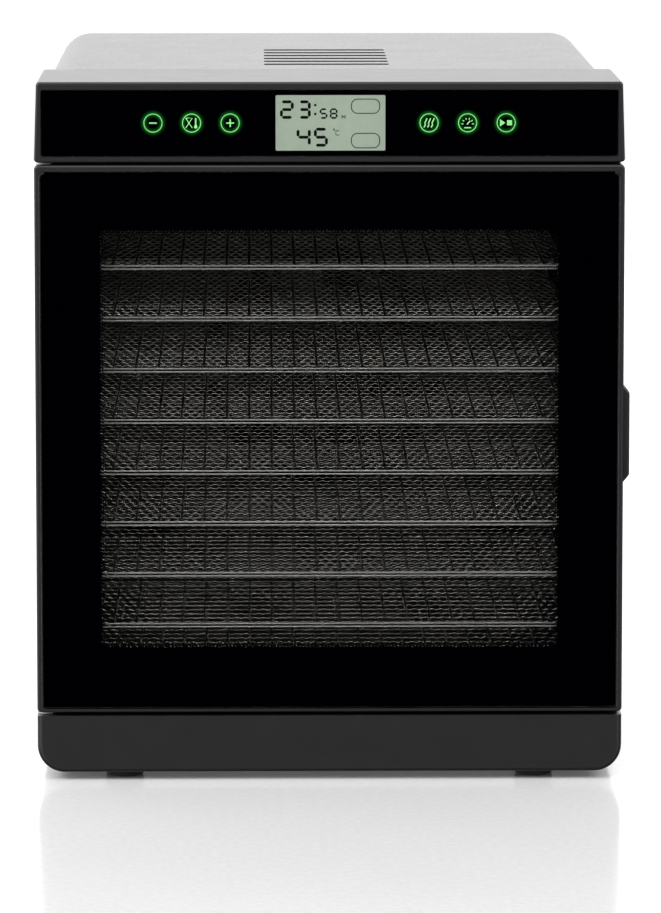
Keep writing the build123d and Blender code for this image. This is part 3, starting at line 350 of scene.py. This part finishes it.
# Grains finer than about half a millimetre are drawn near that size, so that they show.
finishes = {
    # moulded ABS, spark-eroded satin: a soft sheen broken by fine pits
    "black_plastic": grained("moulded_abs", "#0f0f10", "#171719", 0.6, (0.3, 0.38), 0.05),
    # polyester powder coat on steel: slight orange peel that softens reflections
    "casing_paint": grained("powder_coat", "#161618", "#1f1f22", 1.2, (0.28, 0.36), 0.02),
    "panel_glass": clear_glass("float_glass_panel", "#fafcfb"),
    "door_glass": clear_glass("float_glass_door", "#f3f3f2"),
    "lcd": glowing("crystal_display", "#b0bcab", "#a5b1a2", 0.42),
    "light_guide": glowing("lit_acrylic", "#a2ec9c", "#8ee08a", 0.7),
    # drawn stainless wire: bright, with faint die lines
    "stainless": grained(
        "drawn_stainless", "#cccac6", "#dedcd8", 0.8, (0.1, 0.18), 0.05, Metallic=1.0
    ),
    # cold rolled sheet: dull grey with a long rolling grain
    "liner_steel": grained(
        "rolled_sheet", "#4c4c4d", "#626263", 0.5, (0.36, 0.5), 0.12, (1, 1, 0.08), Metallic=1.0
    ),
    # zinc plate: pale, slightly bluish and mottled
    "zinc_steel": grained(
        "zinc_plate", "#8f9296", "#adb0b4", 0.7, (0.28, 0.42), 0.15, Metallic=1.0
    ),
    # moulded rubber: matt, faintly grey where it is dusty
    "rubber": grained("moulded_rubber", "#111112", "#1c1c1c", 0.7, (0.7, 0.85), 0.3),
    # heating element sheath, oxidised brown-grey
    "heater_sheath": grained(
        "oxidised_sheath", "#3d3834", "#5a534c", 1.0, (0.4, 0.6), 0.25, Metallic=1.0
    ),
    # varnished steel stampings: layers show as fine lines across the stack
    "lamination": grained(
        "varnished_stack", "#1d1e20", "#34363a", 0.5, (0.35, 0.55), 0.4, (0.05, 1, 0.05)
    ),
    # taped winding, soaked in amber varnish
    "copper_coil": grained("varnished_tape", "#5a2410", "#7c3a1a", 0.9, (0.25, 0.45), 0.35),
    # glass-fibre board under green solder mask
    "circuit_board": grained("solder_mask", "#0d3a1c", "#14502a", 1.6, (0.25, 0.4), 0.2),
    # stamped aluminium, mill finish with a rolling grain
    "fan_plastic": grained(
        "mill_aluminium", "#a5a6a8", "#bcbdbf", 0.6, (0.25, 0.4), 0.15, (1, 0.1, 1), Metallic=1.0
    ),
    # natural nylon: milky and waxy
    "nylon": grained("natural_nylon", "#cfccc2", "#dcd9d0", 0.8, (0.35, 0.5), 0.15),
    # sintered ferrite: charcoal with open grain
    "magnet": grained("sintered_ferrite", "#1b1b1c", "#2c2c2e", 0.5, (0.5, 0.7), 0.4),
    # fired steatite: chalky off-white
    "ceramic": grained("fired_steatite", "#cbc4b4", "#ddd7c9", 0.6, (0.5, 0.7), 0.3),
}
for part in frame["record"]["subparts"]:
    for holder in frame["nodes"][part["node"]].material_slots:
        holder.material = finishes[part["material_slot"]]

# rim wire, near-white and only partly metallic: a painted highlight, so that the two rim rods and the
# weld beads read as fine bright lines and dots in the front light; the metallic share mirrors the
# room's light
highlight_rim_wire = grained("wire_painted_highlight", "#ececeb", "#f5f5f4", 0.8, (0.25, 0.35), 0.03, Metallic=0.4)
# enamel fired on the glass: deep black, slightly blue, matt from behind
border_ink = grained(
    "border_enamel", "#010106", "#030309", 1.5, (0.5, 0.6), 0.1, **{"Specular IOR Level": 0.0}
)
ink_on_panel = panel_ink("panel_enamel")
# pale grey, mostly metallic bead at the glass's side edges: a painted highlight line; its slanted face
# also mirrors the lamps
edge_highlight_finish = grained(
    "painted_edge_highlight", "#767a7a", "#8a8e8e", 0.5, (0.25, 0.35), 0.05, Metallic=0.8
)
# the dark side of liquid crystal, olive where it blocks the light behind
crystal = grained(
    "dark_crystal", "#141d13", "#1b251a", 0.5, (0.4, 0.5), 0.05, **{"Specular IOR Level": 0.0}
)


# ================================================================ trays
UPPER_ROD_DROP = 1.5
LOWER_ROD_DROP = 3.4
ROD_RADIUS = 0.45
BEAD_DROP = 3.8
BEAD_RADIUS = 0.55
ROD_CORNER = 15.0
TIE_RADIUS = 0.4
TIE_SPACING = 60.0
RIB_DROP = 3.5
RIB_RADIUS = 0.85
RIB_PITCH = 13.5
RIB_COUNT = 22
WAVE_RADIUS = 0.38
WAVE_RISE = 0.42
WAVE_LENGTH = 5.4
WAVE_ROWS = 21
STEPS_IN_WAVE = 6


def tray_ribs(left_right, front, back, level):
    """Straight bars from front to back, side by side, with ends rounded like a drop.

    Near an end the radius is the half-chord of a sphere, so the last ring closes to a small flat.
    """
    reach = RIB_RADIUS * MM
    inset = reach * np.array([0.0, 0.12, 0.4, 1.0])
    run = np.concatenate([front + inset, back - inset[::-1]])
    into_end = np.concatenate([inset, inset[::-1]])
    radius = np.sqrt(np.maximum(reach**2 - (reach - into_end) ** 2, (0.2 * reach) ** 2))
    ribs = []
    for x in left_right:
        path = np.stack([np.full(len(run), x), run, np.full(len(run), level)], -1)
        ribs.append(bar(path, radius, np.array([0.0, 0.0, 1.0]), sides=8))
    return ribs


def wave_wires(left, right, rows, level):
    """Crimped wires from side to side: height is a sine of x, in opposite phase on every other row."""
    waves = (right - left) / (WAVE_LENGTH * MM)
    x = np.linspace(left, right, int(waves * STEPS_IN_WAVE) + 1)
    wires = []
    for index, y in enumerate(rows):
        phase = np.pi * (index % 2)
        z = level + WAVE_RISE * MM * np.sin(2 * np.pi * x / (WAVE_LENGTH * MM) + phase)
        path = np.stack([x, np.full(len(x), y), z], -1)
        wires.append(bar(path, WAVE_RADIUS * MM, np.array([0.0, 1.0, 0.0]), sides=5))
    return wires


def double_rim(low, high):
    """Two equal loops, one above the other, tied by short posts along the sides.

    Each loop runs half a rod inside the tray's outline. The posts stand at even steps of y on the
    left and on the right.
    """
    rod, tie = ROD_RADIUS * MM, TIE_RADIUS * MM
    upward = np.array([0.0, 0.0, 1.0])
    loop = rounded_loop(low[:2] + rod, high[:2] - rod, ROD_CORNER * MM)
    levels = (high[2] - LOWER_ROD_DROP * MM, high[2] - UPPER_ROD_DROP * MM)
    parts = [
        bar(np.column_stack([loop, np.full(len(loop), level)]), rod, upward, sides=12, closed=True)
        for level in levels
    ]
    nearest, farthest = low[1] + ROD_CORNER * MM, high[1] - ROD_CORNER * MM
    for y in np.arange(nearest, farthest, TIE_SPACING * MM):
        for x in (low[0] + rod, high[0] - rod):
            post = np.array([(x, y, level) for level in np.linspace(*levels, 3)])
            parts.append(bar(post, tie, np.array([0.0, 1.0, 0.0]), sides=8))
    return parts


def weld_beads(left_right, y, level):
    """Balls in a row: along y the radius of each ring is the half-chord of the ball there."""
    reach = BEAD_RADIUS * MM
    run = reach * np.sin(np.linspace(-np.pi / 2, np.pi / 2, 7))
    radius = np.sqrt(np.maximum(reach**2 - run**2, (0.2 * reach) ** 2))
    beads = []
    for x in left_right:
        path = np.stack([np.full(len(run), x), y + reach + run, np.full(len(run), level)], -1)
        beads.append(bar(path, radius, np.array([0.0, 0.0, 1.0]), sides=8))
    return beads


for number in range(1, 10):
    low, high = (np.array(corner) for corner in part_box(f"tray_{number}"))
    rod = ROD_RADIUS * MM
    columns = (np.arange(RIB_COUNT) - (RIB_COUNT - 1) / 2) * RIB_PITCH * MM
    rib_level = high[2] - RIB_DROP * MM
    wire_rows = np.linspace(low[1] + 2 * rod, high[1] - 2 * rod, WAVE_ROWS + 2)[1:-1]
    rim = double_rim(low, high) + weld_beads(columns, low[1], high[2] - BEAD_DROP * MM)
    # the rim rods and weld beads carry the painted highlight of the near-white rim wire
    piece(f"tray_highlight_rim_{number}", *joined(rim), highlight_rim_wire, f"tray_{number}_body", "stainless")
    parts = tray_ribs(columns, low[1] + rod, high[1] - rod, rib_level)
    parts += wave_wires(low[0] + rod, high[0] - rod, wire_rows, rib_level)
    woven = piece(
        f"woven_tray_{number}", *joined(parts), finishes["stainless"],
        f"tray_{number}_body", "stainless",
    )
    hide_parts(f"tray_{number}")


# ================================================================ door glass border
CLEAR_HALF_WIDTH = 134.7
CLEAR_LOW = 79.3
CLEAR_HIGH = 327.0
CLEAR_CORNER = 4.0
DOT_PITCH = 2.0
DOT_ROWS = ((0.3, 0.8), (1.7, 0.55), (2.9, 0.35))  # distance in from the enamel's edge, and radius
INK_DEPTH = 0.12
INK_INSET = 0.3
GLASS_CORNER = 3.0

glass_low, glass_high = (np.array(corner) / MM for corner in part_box("door_glass"))


def enamel_border():
    """A sheet between two matching loops, the glass's outline and the clear window's."""
    outer = rounded_loop(
        glass_low[[0, 2]] + INK_INSET, glass_high[[0, 2]] - INK_INSET, GLASS_CORNER
    )
    inner = rounded_loop(
        (-CLEAR_HALF_WIDTH, CLEAR_LOW), (CLEAR_HALF_WIDTH, CLEAR_HIGH), CLEAR_CORNER
    )
    count = len(outer)
    here = np.arange(count)
    there = (here + 1) % count
    faces = np.stack([here, there, there + count, here + count], -1)
    return np.concatenate([outer, inner]), faces.tolist()


def fading_dots():
    """Rows of dots inside the enamel's edge, evenly spaced and smaller from row to row."""
    dots = []
    for inset, radius in DOT_ROWS:
        half, bottom, top = CLEAR_HALF_WIDTH - inset, CLEAR_LOW + inset, CLEAR_HIGH - inset
        across = np.arange(-half, half, DOT_PITCH)
        along = np.arange(bottom, top, DOT_PITCH)
        places = [(x, z) for x in across for z in (bottom, top)]
        places += [(x, z) for z in along for x in (-half, half)]
        dots += [disc(place, radius, sides=8) for place in places]
    return dots


glass_back = glass_high[1] * MM
piece(
    "door_enamel", *upright([enamel_border()] + fading_dots(), glass_back - INK_DEPTH * MM),
    border_ink, "door", "door_glass", smooth=False,
)


TRIM = 0.8


def edge_trim(side):
    """A four-sided bead down one side of the glass, turned a quarter round at its top corner; it
    carries a painted highlight line at the glass's edge.
    """
    edge = (glass_high[0] if side > 0 else glass_low[0]) - side * 0.2 * TRIM
    top = glass_high[2] - TRIM
    turn = np.linspace(0, np.pi / 2, 6)
    across = edge - side * GLASS_CORNER * (1 - np.sin(turn))
    bend = np.stack([across, top - GLASS_CORNER * (1 - np.cos(turn))], -1)
    flat = np.concatenate([bend, [(edge, glass_low[2] + TRIM)]])
    front = glass_low[1] + TRIM
    path = np.stack([flat[:, 0], np.full(len(flat), front), flat[:, 1]], -1) * MM
    return bar(path, TRIM * MM, np.array([0.0, 1.0, 0.0]), sides=4)


piece(
    "glass_side_highlights", *joined([edge_trim(-1), edge_trim(1)]), edge_highlight_finish, "door", "door_glass",
    smooth=False,
)


# ================================================================ dark sheet behind the fan, a painted shade that closes the rear cover's openings
SHADE_SHEET_HALF_WIDTH = 80.0
SHADE_SHEET_HALF_HEIGHT = 72.0
SHADE_SHEET_THICKNESS = 0.3
SHADE_SHEET_LEVEL = 201.0
SHADE_SHEET_CORNER = 6.0


def slab(outline, front, back):
    """A flat slab: an outline in x and z at two depths, joined by a wall and closed by two faces."""
    count = len(outline)
    depths = np.repeat((front, back), count)
    points = np.column_stack([np.tile(outline[:, 0], 2), depths, np.tile(outline[:, 1], 2)])
    here = np.arange(count)
    there = (here + 1) % count
    walls = np.stack([here + count, there + count, there, here], -1).tolist()
    return points, walls + [list(range(count)), list(range(2 * count - 1, count - 1, -1))]


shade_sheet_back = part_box("rear_cover")[0][1] - SHADE_SHEET_THICKNESS * MM
shade_sheet_outline = rounded_loop(
    (-SHADE_SHEET_HALF_WIDTH, SHADE_SHEET_LEVEL - SHADE_SHEET_HALF_HEIGHT),
    (SHADE_SHEET_HALF_WIDTH, SHADE_SHEET_LEVEL + SHADE_SHEET_HALF_HEIGHT), SHADE_SHEET_CORNER,
)
# a dark rubber sheet standing in for shade inside the rear cover: painted shade
piece(
    "rear_shade_sheet",
    *slab(shade_sheet_outline * MM, shade_sheet_back - SHADE_SHEET_THICKNESS * MM, shade_sheet_back),
    finishes["rubber"], "cabinet", "rubber", smooth=False,
)


# ================================================================ control panel
def segment_bar(start, end, width):
    """One display bar: a straight band with pointed ends."""
    start, end = np.asarray(start, float), np.asarray(end, float)
    run = unit(end - start)
    side = np.array([-run[1], run[0]]) * width / 2
    gap, point = run * 0.12 * width, run * width / 2
    near, far = start + gap, end - gap
    lower = [near, near + point - side, far - point - side]
    return patch(lower + [far, far - point + side, near + point + side])


BARS_OF = {
    "2": "abged", "3": "abgcd", "4": "fgbc", "5": "afgcd", "8": "abcdefg", "H": "fegbc", "C": "afed",
}


def figure(sign, left, right, low, high, width):
    """A seven-bar figure inside a box."""
    near, far = left + width / 2, right - width / 2
    bottom, top = low + width / 2, high - width / 2
    middle = (bottom + top) / 2
    ends = {
        "a": ((near, top), (far, top)),
        "b": ((far, top), (far, middle)),
        "c": ((far, middle), (far, bottom)),
        "d": ((near, bottom), (far, bottom)),
        "e": ((near, middle), (near, bottom)),
        "f": ((near, top), (near, middle)),
        "g": ((near, middle), (far, middle)),
    }
    return [segment_bar(*ends[name], width) for name in BARS_OF[sign]]


def pill(low, high):
    """The outline of a field with round ends."""
    return ribbon(rounded_loop(low, high, (high[1] - low[1]) / 2 - 0.6, steps=10), 0.5, closed=True)


lcd_low, lcd_high = (np.array(corner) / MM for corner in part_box("lcd_panel"))
lcd_middle = np.array([(lcd_low[0] + lcd_high[0]) / 2, (lcd_low[2] + lcd_high[2]) / 2])
readings = (
    figure("2", -29.5, -21.4, 2.4, 13.2, 1.75)
    + figure("3", -18.9, -11.5, 2.4, 13.2, 1.75)
    + [disc((-8.9, 10.4), 0.75), disc((-8.9, 5.2), 0.75)]
    + figure("5", -6.3, -1.8, 2.4, 8.5, 1.05)
    + figure("8", -0.4, 4.1, 2.4, 8.5, 1.05)
    + figure("H", 6.4, 8.8, 2.1, 5.1, 0.6)
    + figure("4", -19.8, -11.5, -13.9, -2.8, 1.75)
    + figure("5", -9.7, -1.5, -13.9, -2.8, 1.75)
    + [ribbon(disc((2.1, -3.9), 0.45)[0], 0.35, closed=True)]
    + figure("C", 2.9, 5.5, -7.3, -4.4, 0.42)
    + [pill((12.2, 5.6), (28.7, 13.9)), pill((12.2, -14.6), (28.7, -6.1))]
)

WAVE_STROKE = [(-0.9, -2.7), (-0.1, -1.3), (-0.35, 0.0), (0.35, 1.3), (0.9, 2.7)]
GAUGE_TICKS = (2.5, 3.6)  # radii of a tick's two ends
GAUGE_DROP = 0.6
gauge_turns = np.linspace(0, np.pi, 6)
gauge_ticks = [
    ribbon([(reach * np.cos(turn), reach * np.sin(turn) - GAUGE_DROP) for reach in GAUGE_TICKS], 0.6)
    for turn in gauge_turns
]
icon_marks = (
    [ribbon([(-2.3, 0.0), (2.3, 0.0)], 0.8)],
    [
        ribbon([(-3.4, 2.9), (0.4, 2.9), (-3.4, -2.9), (0.4, -2.9), (-3.4, 2.9)], 0.55),
        ribbon([(2.4, -2.0), (2.4, 2.9)], 0.9),
        disc((2.4, -2.2), 1.0),
    ],
    [ribbon([(-2.3, 0.0), (2.3, 0.0)], 0.8), ribbon([(0.0, -2.3), (0.0, 2.3)], 0.8)],
    [moved(ribbon(WAVE_STROKE, 0.75), (shift, 0.0)) for shift in (-2.1, 0.0, 2.1)],
    gauge_ticks
    + [ribbon([(-0.4, -1.0), (1.5, 1.2)], 0.7), ribbon([(-2.0, -2.9), (2.0, -2.9)], 0.7)],
    [
        patch([(-3.6, -2.1), (-0.5, 0.0), (-3.6, 2.1)]),
        patch([(0.5, -1.5), (3.4, -1.5), (3.4, 1.5), (0.5, 1.5)]),
    ],
)
icons = []
for column, marks in zip(ICON_COLUMNS, icon_marks):
    ring = disc((0.0, 0.0), ICON_RING, sides=48)[0]
    spot = (column, PANEL_LEVEL / MM)
    icons += [moved(mark, spot) for mark in [ribbon(ring, ICON_LINE, closed=True)] + list(marks)]

PANEL_INSET = 0.2
PANEL_CORNER = 1.2
panel_back = PANEL_HIGH[1]
sheet = rounded_loop(
    (PANEL_LOW[0] / MM + PANEL_INSET, PANEL_LOW[2] / MM + PANEL_INSET),
    (PANEL_HIGH[0] / MM - PANEL_INSET, PANEL_HIGH[2] / MM - PANEL_INSET), PANEL_CORNER,
)
FACE_HALF = (32.0, 16.2)
face = rounded_loop(lcd_middle - FACE_HALF, lcd_middle + FACE_HALF, 0.8)
layers = (
    ("panel_enamel_sheet", [patch(sheet)], ink_on_panel, "panel_glass"),
    ("display_face", [patch(face)], finishes["lcd"], "lcd"),
    ("display_readings", [moved(mark, lcd_middle) for mark in readings], crystal, "lcd"),
    ("icon_marks", icons, finishes["light_guide"], "light_guide"),
)
for order, (name, marks, material, slot) in enumerate(layers, start=1):
    depth = panel_back - order * INK_DEPTH * MM
    piece(name, *upright(marks, depth), material, "cabinet", slot, smooth=False)


# ================================================================ floor and light
FLOOR_NEAR = -0.6
FLOOR_FAR = 4.0
FLOOR_HALF_WIDTH = 3.0


def studio_floor():
    """A pale matt floor, ending in front of the object and running on behind it."""
    near, far, half = FLOOR_NEAR, FLOOR_FAR, FLOOR_HALF_WIDTH
    corners = np.array([(-half, near, 0.0), (half, near, 0.0), (half, far, 0.0), (-half, far, 0.0)])
    mesh = bpy.data.meshes.new("floor")
    mesh.from_pydata(corners.tolist(), [], [[0, 1, 2, 3]])
    mesh.materials.append(
        grained("pale_floor", "#dbdbdb", "#e1e1e1", 4.0, (0.12, 0.16), 0.0)
    )
    floor = bpy.data.objects.new("floor", mesh)
    bpy.context.scene.collection.objects.link(floor)
    floor.visible_glossy = False


# the world's light by direction, from straight in front (0) to straight behind (1): the two end
# stops come first
WORLD_DEPTH_LIGHT = ((0.0, 1.8), (1.0, 1.95), (0.2, 1.8), (0.45, 0.9), (0.8, 1.0))


def studio_world():
    """White behind the object, and soft light all round but for a dark patch straight in front.

    The dark patch is what the glass mirrors back to the user. The light's strength is a product
    of ramps: none within the patch and full outside it, stronger towards the front and the back,
    and weaker towards the user's right and from below.
    """
    world = bpy.data.worlds.new("studio")
    bpy.context.scene.world = world
    world.use_nodes = True
    tree = world.node_tree
    tree.nodes.clear()
    way = add(
        tree, "ShaderNodeSeparateXYZ", {0: add(tree, "ShaderNodeTexCoord").outputs["Generated"]}
    ).outputs
    patch_edge = add(
        tree, "ShaderNodeMapRange",
        {"Value": way["Y"], "From Min": -0.975, "From Max": -0.9, "To Min": 0.0, "To Max": 1.0},
        interpolation_type="SMOOTHSTEP",
    ).outputs[0]
    depth_light = add(tree, "ShaderNodeValToRGB", {"Fac": add(
        tree, "ShaderNodeMapRange", {"Value": way["Y"], "From Min": -1.0, "From Max": 1.0}
    ).outputs[0]})
    for stop, (place, value) in enumerate(WORLD_DEPTH_LIGHT):
        stops = depth_light.color_ramp.elements
        spot = stops[stop] if stop < 2 else stops.new(place)
        spot.position = place
        spot.color = (value, value, value, 1.0)
    side_light = add(
        tree, "ShaderNodeMapRange",
        {"Value": way["X"], "From Min": 0.1, "From Max": 0.9, "To Min": 1.0, "To Max": 0.3},
    ).outputs[0]
    low_light = add(
        tree, "ShaderNodeMapRange",
        {"Value": way["Z"], "From Min": -0.6, "From Max": 0.0, "To Min": 0.12, "To Max": 1.0},
    ).outputs[0]
    strength = patch_edge
    for share in (side_light, low_light):
        strength = add(
            tree, "ShaderNodeMath", {0: strength, 1: share}, operation="MULTIPLY"
        ).outputs[0]
    soft = add(
        tree, "ShaderNodeBackground", {"Color": depth_light.outputs["Color"], "Strength": strength}
    )
    white = add(tree, "ShaderNodeBackground", {"Color": (1.0, 1.0, 1.0, 1.0), "Strength": 1.0})
    seen = add(tree, "ShaderNodeLightPath").outputs["Is Camera Ray"]
    mix = add(tree, "ShaderNodeMixShader", {0: seen, 1: soft.outputs[0], 2: white.outputs[0]})
    add(tree, "ShaderNodeOutputWorld", {"Surface": mix.outputs[0]})


def softbox(name, place, target, size, power):
    """A square area light, aimed at a point."""
    lamp = bpy.data.lights.new(name, "AREA")
    lamp.size = size
    lamp.energy = power
    made = bpy.data.objects.new(name, lamp)
    made.location = place
    aim = np.asarray(target, float) - np.asarray(place, float)
    slope = np.arctan2(np.hypot(aim[0], aim[1]), -aim[2])
    made.rotation_euler = (slope, 0.0, np.arctan2(aim[1], aim[0]) - np.pi / 2)
    bpy.context.scene.collection.objects.link(made)


studio_floor()
studio_world()
softbox("key", (-1.5, -1.5, 1.5), (0.0, 0.0, 0.2), 0.9, 40.0)
softbox("fill", (1.6, -1.4, 1.3), (0.0, 0.0, 0.2), 0.9, 20.0)
softbox("front", (0.0, -2.2, 1.25), (0.0, -0.2, 0.2), 0.6, 5.0)
bpy.context.scene.view_settings.view_transform = "Standard"
